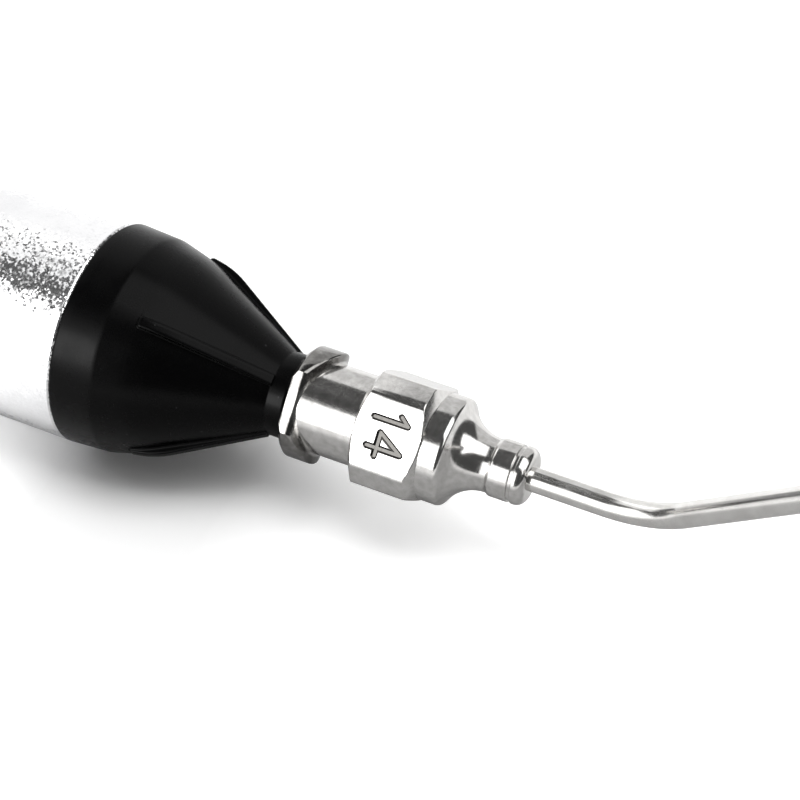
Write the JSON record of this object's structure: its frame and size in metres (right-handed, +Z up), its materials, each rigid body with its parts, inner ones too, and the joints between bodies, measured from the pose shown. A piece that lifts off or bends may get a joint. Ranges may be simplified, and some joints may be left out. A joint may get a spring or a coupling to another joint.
{
  "type": "vacuum pick up pen",
  "caption": "Hand vacuum pen: metal barrel with a side button over a rubber bulb, black finned nose, plated needle hub with a bent tube and a soft cup that lifts small parts.",
  "frame": {"origin": "on the pen's axis, at the centre of the flat tail face", "axes": "+X runs along the pen from the tail to the nose, +Z is up as the pen lies, and +Y is the side that the button leans to"},
  "size_m": [0.1508, 0.0178, 0.0318],
  "materials": {
    "blasted_aluminium": "bead blasted, silver, satin",
    "black_plastic": "moulded, semi gloss black",
    "bulb_rubber": "soft moulded rubber, matt",
    "button_plastic": "moulded, semi gloss black",
    "strip_steel": "cut strip, satin",
    "plated_hub": "turned brass, bright nickel plate",
    "tube_steel": "drawn stainless tube, bright",
    "cup_rubber": "soft antistatic rubber, matt"
  },
  "bodies": {
    "pen_body": {"barrel": "blasted_aluminium", "tail_cap": "black_plastic", "nose_cone": "black_plastic", "squeeze_bulb": "bulb_rubber"},
    "button": {"button": "button_plastic", "press_plate": "strip_steel"},
    "needle": {"needle_hub": "plated_hub", "needle_tube": "tube_steel", "suction_cup": "cup_rubber"}
  },
  "joints": [
    {"name": "button_press", "type": "slide", "parent": "pen_body", "child": "button", "axis": [0, -0.7262, 0.6875], "range_m": [0, 0.002], "stiffness_N_per_m": 2000, "deforming": ["squeeze_bulb"]},
    {"name": "needle_swivel", "type": "hinge", "parent": "pen_body", "child": "needle", "pos_m": [0.105, 0, 0], "axis": [1, 0, 0], "continuous": true}
  ]
}
